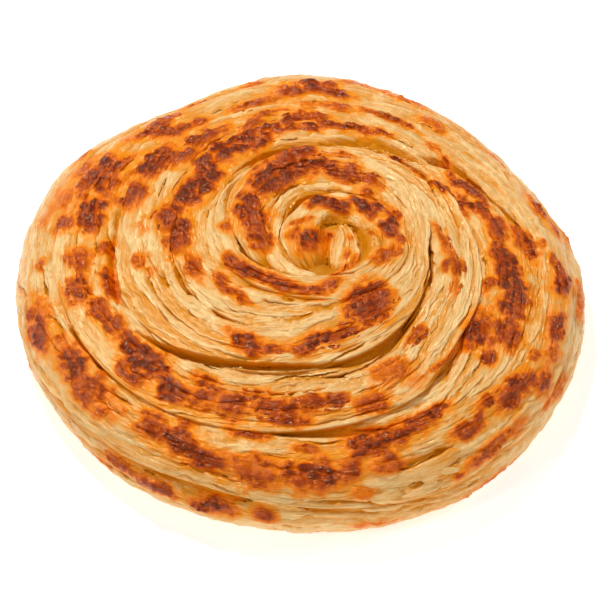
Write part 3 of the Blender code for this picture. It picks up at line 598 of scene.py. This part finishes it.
def core_sheet():
    """The bread under its strands: sunk on top, level at the side, and flat and browned beneath."""
    angle = np.linspace(0.0, 360.0, 561)[:-1]
    arc = np.concatenate([np.linspace(0.05, 72, 90), np.linspace(73, ARC_FOOT, 60), np.linspace(ARC_FOOT + 1, ARC_END - 0.05, 42)])
    arc, angle = np.meshgrid(arc, angle)
    x, y = flat(angle, arc)
    sunk = 3.4 * smooth_step((88 - arc) / 14) + 1.3 * smooth_step((ARC_FOOT - 3 - arc) / 6) * smooth_step((arc - 74) / 12)
    ripple = 0.35 * grain(x / 4, y / 4, 41) + 0.5 * layered_grain(x / 9, y / 9, 43, 2)
    height = -sunk + ripple * smooth_step((ARC_FOOT - arc) / 4)
    height -= 3.0 * np.exp(-((x - 2.2) / 2.0) ** 2 - ((y - 1.0) / 7.0) ** 2)
    height = np.where(arc >= ARC_FOOT - 0.5, 0.0, height)
    places = skin(angle, arc, height)
    under = smooth_step((arc - ARC_FOOT + 3.0) / 5.0)
    blotches = smooth_step(0.42 + 0.62 * layered_grain(places[..., 0] / 15, places[..., 1] / 15, 51, 4))
    toast = read_field(TOAST, x, y) * (1 - under) + 0.95 * blotches * under
    return dict(places=places, x=x, y=y, height=height, toast=toast,
                tone=grain(places[..., 0] / 12, places[..., 1] / 12, 47), across=arc,
                along=MEAN_RADIUS * np.abs(np.radians(angle - 180.0)), pale=under)


# ---------------------------------------------------------------- meshes


def height_map(sheets):
    """The highest sheet over each point of the unrolled skin."""
    highest = np.full(FIELD_X.shape, -6.0)
    for sheet in sheets:
        ix = np.rint((sheet["x"] + FIELD_HALF) / FIELD_STEP).astype(int)
        iy = np.rint((sheet["y"] + FIELD_HALF) / FIELD_STEP).astype(int)
        np.maximum.at(highest, (ix.clip(0, len(FIELD_AXIS) - 1), iy.clip(0, len(FIELD_AXIS) - 1)), sheet["height"])
    return highest


def surround_map(highest, reach, soft):
    """How high the bread stands round each place: the heights widened by reach, then blurred."""
    for axis in (0, 1):
        highest = np.max([np.roll(highest, k, axis) for k in range(-reach, reach + 1)], axis=0)
    for axis in (0, 1, 0, 1):
        highest = np.mean([np.roll(highest, k, axis) for k in range(-soft, soft + 1)], axis=0)
    return highest


def tube_faces(rings, count):
    """Quads of a closed tube whose rings have count points, numbered ring by ring."""
    ring, point = np.meshgrid(np.arange(rings - 1), np.arange(count), indexing="ij")
    after = (point + 1) % count
    quads = np.stack([ring * count + point, (ring + 1) * count + point,
                      (ring + 1) * count + after, ring * count + after], axis=-1)
    return quads.reshape(-1, 4)


def make_mesh(name, places, quads, fans, values, uv, material):
    """A closed mesh piece from its places in mm, with its values as point attributes."""
    mesh = bpy.data.meshes.new(name)
    mesh.vertices.add(len(places))
    mesh.vertices.foreach_set("co", (places * MM).astype(np.float32).ravel())
    corners = np.concatenate([quads.ravel(), fans.ravel()]).astype(np.int32)
    sizes = np.concatenate([np.full(len(quads), 4), np.full(len(fans), 3)]).astype(np.int32)
    mesh.loops.add(len(corners))
    mesh.loops.foreach_set("vertex_index", corners)
    mesh.polygons.add(len(sizes))
    mesh.polygons.foreach_set("loop_start", np.concatenate([[0], np.cumsum(sizes)[:-1]]).astype(np.int32))
    mesh.polygons.foreach_set("loop_total", sizes)
    mesh.update(calc_edges=True)
    layer = mesh.uv_layers.new(name="strand")
    layer.data.foreach_set("uv", uv[corners].astype(np.float32).ravel())
    for key, value in values.items():
        mesh.attributes.new(key, "FLOAT", "POINT").data.foreach_set("value", value.astype(np.float32))
    mesh.shade_smooth()
    mesh.materials.append(material)
    piece = bpy.data.objects.new(name, mesh)
    bpy.context.scene.collection.objects.link(piece)
    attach(piece, "root")
    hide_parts(NODE)
    return piece


def outwards(places, quads, fans):
    """The faces turned so that the volume they enclose is positive."""
    def volume(a, b, c):
        return np.einsum("ij,ij->", places[a], np.cross(places[b], places[c]))
    total = volume(quads[:, 0], quads[:, 1], quads[:, 2]) + volume(quads[:, 0], quads[:, 2], quads[:, 3])
    total += volume(fans[:, 0], fans[:, 1], fans[:, 2])
    return (quads, fans) if total > 0 else (quads[:, ::-1], fans[:, ::-1])


def closed_tube(sheet, surround):
    """A sheet's places, faces, values and map as a tube closed with a fan at each end."""
    rings, count = sheet["x"].shape
    # How deep each place lies below the bread round it, widely and closely, for the painted shade
    wide, near = (read_field(field, sheet["x"], sheet["y"]) - sheet["height"] for field in surround)
    lit = 1 - sheet.get("pale", 0.0)
    # Painted shade, amber: deep below the bread round it, on leaf undersides and in the folds under lips; none on the
    # bread's underside
    hollow = lit * np.maximum(smooth_step((wide - 0.9) / 3.0), sheet.get("shade_amber", 0.0))
    # Painted shade, golden to amber, in the narrow folds close under lips and leaves; it also takes some browning away
    # there
    crease = lit * smooth_step((near - 0.15) / 1.1)
    values = dict(toast=sheet["toast"] * (1 - 0.35 * crease), hollow=hollow, crease=crease, tone=sheet["tone"],
                  glow=read_field(GLOW, sheet["x"], sheet["y"]), warm=read_field(WARM, sheet["x"], sheet["y"]))
    places = sheet["places"].reshape(-1, 3)
    uv = np.stack([sheet["across"] + 0 * sheet["x"], sheet["along"] + 0 * sheet["x"]], axis=-1).reshape(-1, 2) * 0.01
    ends = [places[:count].mean(axis=0), places[-count:].mean(axis=0)]
    last = len(places)
    point = np.arange(count)
    after = (point + 1) % count
    near_fan = np.stack([np.full(count, last), point, after], axis=1)
    far_fan = np.stack([np.full(count, last + 1), (rings - 1) * count + after, (rings - 1) * count + point], axis=1)
    places = np.concatenate([places, ends])
    quads, fans = outwards(places, tube_faces(rings, count), np.concatenate([near_fan, far_fan]))
    uv = np.concatenate([uv, uv[[0, -1]]])
    values = {key: np.concatenate([value.ravel(), value.ravel()[[0, -1]]]) for key, value in values.items()}
    return places, quads, fans, values, uv


def joined_mesh(name, tubes, material):
    """Several closed tubes as one mesh piece."""
    starts = np.concatenate([[0], np.cumsum([len(tube[0]) for tube in tubes])[:-1]])
    places = np.concatenate([tube[0] for tube in tubes])
    quads = np.concatenate([tube[1] + start for tube, start in zip(tubes, starts)])
    fans = np.concatenate([tube[2] + start for tube, start in zip(tubes, starts)])
    values = {key: np.concatenate([tube[3][key] for tube in tubes]) for key in tubes[0][3]}
    uv = np.concatenate([tube[4] for tube in tubes])
    return make_mesh(name, places, quads, fans, values, uv, material)


# ---------------------------------------------------------------- materials


def colour(red, green, blue):
    """A display colour from 0 to 255 as the linear colour of a shader."""
    def linear(c):
        c = c / 255.0
        return c / 12.92 if c <= 0.04045 else ((c + 0.055) / 1.055) ** 2.4
    return (linear(red), linear(green), linear(blue), 1.0)


def add_node(tree, kind, **settings):
    node = tree.nodes.new(kind)
    for key, value in settings.items():
        setattr(node, key, value)
    return node


def put(tree, node, socket, value):
    """Set an input, or link it when the value is another node's output."""
    if isinstance(value, bpy.types.NodeSocket):
        tree.links.new(value, node.inputs[socket])
    else:
        node.inputs[socket].default_value = value


def maths(tree, operation, *values, clamp=False):
    node = add_node(tree, "ShaderNodeMath", operation=operation, use_clamp=clamp)
    for place, value in enumerate(values):
        put(tree, node, place, value)
    return node.outputs[0]


def mix(tree, factor, first, second):
    node = add_node(tree, "ShaderNodeMix", data_type="RGBA", clamp_factor=True)
    put(tree, node, 0, factor)
    put(tree, node, 6, first)
    put(tree, node, 7, second)
    return node.outputs[2]


def ramp(tree, value, low, high):
    """0 at low, 1 at high, smooth between."""
    node = add_node(tree, "ShaderNodeMapRange", interpolation_type="SMOOTHSTEP")
    put(tree, node, 0, value)
    node.inputs[1].default_value = low
    node.inputs[2].default_value = high
    return node.outputs[0]


def noise(tree, vector, scale, detail=3.0, roughness=0.55):
    node = add_node(tree, "ShaderNodeTexNoise", normalize=True)
    put(tree, node, "Vector", vector)
    node.inputs["Scale"].default_value = scale
    node.inputs["Detail"].default_value = detail
    node.inputs["Roughness"].default_value = roughness
    return node.outputs[0]


def new_group(name, inputs, outputs):
    """A node group with named sockets: each input is (name, kind, default)."""
    tree = bpy.data.node_groups.new(name, "ShaderNodeTree")
    for label, kind, default in inputs:
        socket = tree.interface.new_socket(label, in_out="INPUT", socket_type=kind)
        if default is not None:
            socket.default_value = default
    for label, kind in outputs:
        tree.interface.new_socket(label, in_out="OUTPUT", socket_type=kind)
    return tree, tree.nodes.new("NodeGroupInput"), tree.nodes.new("NodeGroupOutput")


def silk_group():
    """Streaks of pulled dough, long and fine, along the strand's own map."""
    tree, given, made = new_group("silk_streaks", [("Map", "NodeSocketVector", None)],
                                  [("Streak", "NodeSocketFloat"), ("Fibre", "NodeSocketFloat"),
                                   ("Fleck", "NodeSocketFloat")])
    wide = add_node(tree, "ShaderNodeVectorMath", operation="MULTIPLY")
    put(tree, wide, 0, given.outputs["Map"])
    wide.inputs[1].default_value = (85.0, 6.0, 0.0)
    fine = add_node(tree, "ShaderNodeVectorMath", operation="MULTIPLY")
    put(tree, fine, 0, given.outputs["Map"])
    fine.inputs[1].default_value = (190.0, 16.0, 0.0)
    streak = noise(tree, wide.outputs[0], 1.0, 3.0, 0.6)
    fibre = noise(tree, fine.outputs[0], 1.0, 2.0, 0.5)
    put(tree, made, "Streak", ramp(tree, streak, 0.32, 0.68))
    put(tree, made, "Fibre", fibre)
    short = add_node(tree, "ShaderNodeVectorMath", operation="MULTIPLY")
    put(tree, short, 0, given.outputs["Map"])
    short.inputs[1].default_value = (150.0, 22.0, 0.0)
    ridges = maths(tree, "ABSOLUTE", maths(tree, "ADD", noise(tree, short.outputs[0], 1.0, 2.0), -0.5))
    put(tree, made, "Fleck", maths(tree, "MULTIPLY_ADD", ridges, -3.0, 1.0))
    return tree


def dough_group():
    """Colour of the dough from what was measured on it: cream on the crests, paler on the leaves' lips
    (a painted highlight carried in the tone), golden in the folds and amber in the crevices (painted
    shade), and orange, red-brown and dark brown where it is toasted."""
    tree, given, made = new_group(
        "dough_colour",
        [("Place", "NodeSocketVector", None), ("Streak", "NodeSocketFloat", 0.5), ("Tone", "NodeSocketFloat", 0.0),
         ("Hollow", "NodeSocketFloat", 0.0), ("Crease", "NodeSocketFloat", 0.0), ("Toast", "NodeSocketFloat", 0.0), ("Glow", "NodeSocketFloat", 0.0),
         ("Warm", "NodeSocketFloat", 0.0), ("Cream", "NodeSocketColor", colour(243, 212, 156)),
         ("Golden", "NodeSocketColor", colour(226, 164, 76)), ("Amber", "NodeSocketColor", colour(196, 112, 12))],
        [("Colour", "NodeSocketColor"), ("Browned", "NodeSocketFloat"), ("Crackle", "NodeSocketFloat")])
    out = given.outputs
    broad = noise(tree, out["Place"], 90.0, 3.0)
    gold = maths(tree, "MULTIPLY_ADD", out["Streak"], -0.50, 0.62)
    # Paler where the tone is high, which includes the painted highlight on lips and crumples
    gold = maths(tree, "MULTIPLY_ADD", out["Tone"], -0.55, gold)
    gold = maths(tree, "MULTIPLY_ADD", broad, 0.7, maths(tree, "ADD", gold, -0.35))
    # Painted shade: golden in the narrow folds
    gold = maths(tree, "MULTIPLY_ADD", out["Crease"], 0.80, gold)
    gold = maths(tree, "MULTIPLY_ADD", out["Warm"], 0.45, gold)
    gold = maths(tree, "MULTIPLY_ADD", out["Glow"], 0.35, gold, clamp=True)
    paint = mix(tree, gold, out["Cream"], out["Golden"])
    # Painted shade: amber in the crevices and deep folds
    deep = maths(tree, "MULTIPLY_ADD", out["Crease"], 0.45, out["Hollow"])
    paint = mix(tree, ramp(tree, deep, 0.12, 0.85), paint, out["Amber"])
    patchy = noise(tree, out["Place"], 420.0, 4.0, 0.66)
    rough = maths(tree, "ADD", patchy, -0.5)
    halo = maths(tree, "MULTIPLY_ADD", rough, 0.6, out["Glow"])
    halo = maths(tree, "MULTIPLY_ADD", out["Warm"], 0.35, halo)
    paint = mix(tree, maths(tree, "MULTIPLY", ramp(tree, halo, 0.20, 0.85), 0.9), paint, colour(242, 146, 14))
    brown = maths(tree, "MULTIPLY_ADD", rough, 0.75, out["Toast"])
    paint = mix(tree, ramp(tree, brown, 0.06, 0.46), paint, colour(238, 122, 2))
    paint = mix(tree, ramp(tree, brown, 0.42, 0.88), paint, colour(184, 66, 0))
    paint = mix(tree, ramp(tree, brown, 0.74, 1.18), paint, colour(104, 22, 0))
    put(tree, made, "Colour", paint)
    put(tree, made, "Browned", ramp(tree, brown, 0.3, 0.8))
    put(tree, made, "Crackle", patchy)
    return tree


def dough_material(name, silk, dough, roughness, cream, golden, shade_amber):
    """Baked dough with a film of fat: a Principled shader fed by the two groups."""
    material = bpy.data.materials.new(name)
    material.use_nodes = True
    tree = material.node_tree
    shader = tree.nodes["Principled BSDF"]
    shader.inputs["Specular IOR Level"].default_value = 0.5
    shader.inputs["Subsurface Weight"].default_value = 0.14
    shader.inputs["Subsurface Radius"].default_value = (1.0, 0.5, 0.2)
    shader.inputs["Subsurface Scale"].default_value = 0.0005
    shader.inputs["Specular Tint"].default_value = (1.0, 0.72, 0.38, 1.0)
    place = add_node(tree, "ShaderNodeTexCoord").outputs["Object"]
    streaks = add_node(tree, "ShaderNodeGroup", node_tree=silk)
    put(tree, streaks, "Map", add_node(tree, "ShaderNodeUVMap", uv_map="strand").outputs[0])
    paint = add_node(tree, "ShaderNodeGroup", node_tree=dough)
    put(tree, paint, "Place", place)
    put(tree, paint, "Streak", streaks.outputs["Streak"])
    for label in ("Tone", "Hollow", "Crease", "Toast", "Glow", "Warm"):
        reading = add_node(tree, "ShaderNodeAttribute", attribute_name=label.lower())
        put(tree, paint, label, reading.outputs["Fac"])
    put(tree, paint, "Cream", cream)
    put(tree, paint, "Golden", golden)
    put(tree, paint, "Amber", shade_amber)
    put(tree, shader, "Base Color", paint.outputs["Colour"])
    gloss = maths(tree, "MULTIPLY_ADD", paint.outputs["Browned"], -0.08, roughness)
    gloss = maths(tree, "MULTIPLY_ADD", streaks.outputs["Fibre"], 0.16, maths(tree, "ADD", gloss, -0.08))
    put(tree, shader, "Roughness", gloss)
    rise = maths(tree, "MULTIPLY_ADD", streaks.outputs["Streak"], 0.5, streaks.outputs["Fibre"])
    rise = maths(tree, "MULTIPLY_ADD", streaks.outputs["Fleck"], 1.0, rise)
    crackle = maths(tree, "MULTIPLY", paint.outputs["Browned"], maths(tree, "MULTIPLY", paint.outputs["Crackle"], 2.2))
    bump = add_node(tree, "ShaderNodeBump")
    bump.inputs["Strength"].default_value = 0.8
    bump.inputs["Distance"].default_value = 0.00030
    put(tree, bump, "Height", maths(tree, "ADD", rise, crackle))
    put(tree, shader, "Normal", bump.outputs[0])
    return material


# ---------------------------------------------------------------- stage


def aim(item, target):
    """Turn an object so that its -Z looks at a point."""
    import mathutils
    way = mathutils.Vector(target) - item.location
    item.rotation_euler = way.to_track_quat("-Z", "Y").to_euler()


def make_stage():
    """A plain pale floor, soft studio lights and a camera looking down on the front."""
    scene = bpy.context.scene
    material = bpy.data.materials.new("pale_floor")
    material.use_nodes = True
    shader = material.node_tree.nodes["Principled BSDF"]
    shader.inputs["Base Color"].default_value = (0.96, 0.96, 0.96, 1.0)
    shader.inputs["Roughness"].default_value = 0.8
    shader.inputs["Emission Color"].default_value = (1.0, 1.0, 1.0, 1.0)
    shader.inputs["Emission Strength"].default_value = 0.54
    mesh = bpy.data.meshes.new("floor")
    half = 3.0
    low = -0.0002
    mesh.from_pydata([(-half, -half, low), (half, -half, low), (half, half, low), (-half, half, low)], [],
                     [(0, 1, 2, 3)])
    mesh.materials.append(material)
    floor = bpy.data.objects.new("floor", mesh)
    scene.collection.objects.link(floor)

    world = bpy.data.worlds.new("studio")
    world.use_nodes = True
    world.node_tree.nodes["Background"].inputs["Color"].default_value = (1.0, 0.88, 0.70, 1.0)
    world.node_tree.nodes["Background"].inputs["Strength"].default_value = 0.20
    scene.world = world
    lamps = (("key", (-0.25, 0.50, 0.85), 0.12, 7.8), ("left_fill", (-0.9, -0.5, 0.8), 0.35, 2.8),
             ("front_fill", (0.4, -1.1, 0.6), 0.35, 3.3), ("right_fill", (1.0, 0.2, 0.8), 0.35, 2.9))
    for name, place, size, power in lamps:
        light = bpy.data.lights.new(name, "AREA")
        light.shape = "DISK"
        light.size = size
        light.energy = power
        lamp = bpy.data.objects.new(name, light)
        lamp.location = place
        scene.collection.objects.link(lamp)
        aim(lamp, (0.0, 0.0, 0.0))

    camera = bpy.data.cameras.new("camera")
    camera.lens = 140.0
    eye = bpy.data.objects.new("camera", camera)
    tilt = math.radians(49.0)
    target = (0.0003, -0.0093, 0.012)
    eye.location = (target[0], target[1] - 0.70 * math.cos(tilt), target[2] + 0.70 * math.sin(tilt))
    scene.collection.objects.link(eye)
    aim(eye, target)
    scene.camera = eye
    scene.view_settings.view_transform = "Standard"


# ---------------------------------------------------------------- the bread


def make_bread():
    sheets = {name: strand_sheet(**facts) for name, facts in STRANDS.items()}
    sheets.update({name: strand_sheet(by_arc=True, **facts) for name, facts in BELTS.items()})
    core = core_sheet()
    highest = height_map(list(sheets.values()) + [core])
    level = surround_map(highest, 1, 1)
    leaves = {name: strand_leaves(facts, level, False) for name, facts in STRANDS.items()}
    leaves.update({name: strand_leaves(facts, level, True) for name, facts in BELTS.items()})
    highest = np.maximum(highest, height_map([leaf for group in leaves.values() for leaf in group]))
    # The two surround maps measure how deep each place lies, for the painted shade
    surround = (surround_map(highest, 7, 4), surround_map(highest, 2, 1))
    silk, dough = silk_group(), dough_group()
    # The amber colour is the painted shade in crevices and folds
    cream, golden, shade_amber = colour(242, 202, 138), colour(228, 150, 52), colour(214, 134, 2)
    crust = dough_material("flaky_crust", silk, dough, 0.28, cream, golden, shade_amber)
    # The core takes a darker, more golden copy of the crust: painted shade for the sunk core seen down in the gaps
    # between strands
    inner = dough_material("amber_core", silk, dough, 0.38, colour(236, 172, 84), colour(224, 144, 42), shade_amber)
    for name, sheet in sheets.items():
        joined_mesh(name, [closed_tube(sheet, surround)], crust)
        if leaves[name]:
            joined_mesh(name + "_leaves", [closed_tube(leaf, surround) for leaf in leaves[name]], crust)
    joined_mesh("core", [closed_tube(core_tube(core), surround)], inner)


def core_tube(core):
    """The core's sheet with its rows as rings round the eye's axis, as the tube maker wants them."""
    turned = {key: (value.T if value.ndim == 2 else value.transpose(1, 0, 2)) for key, value in core.items()}
    return turned


make_bread()
make_stage()
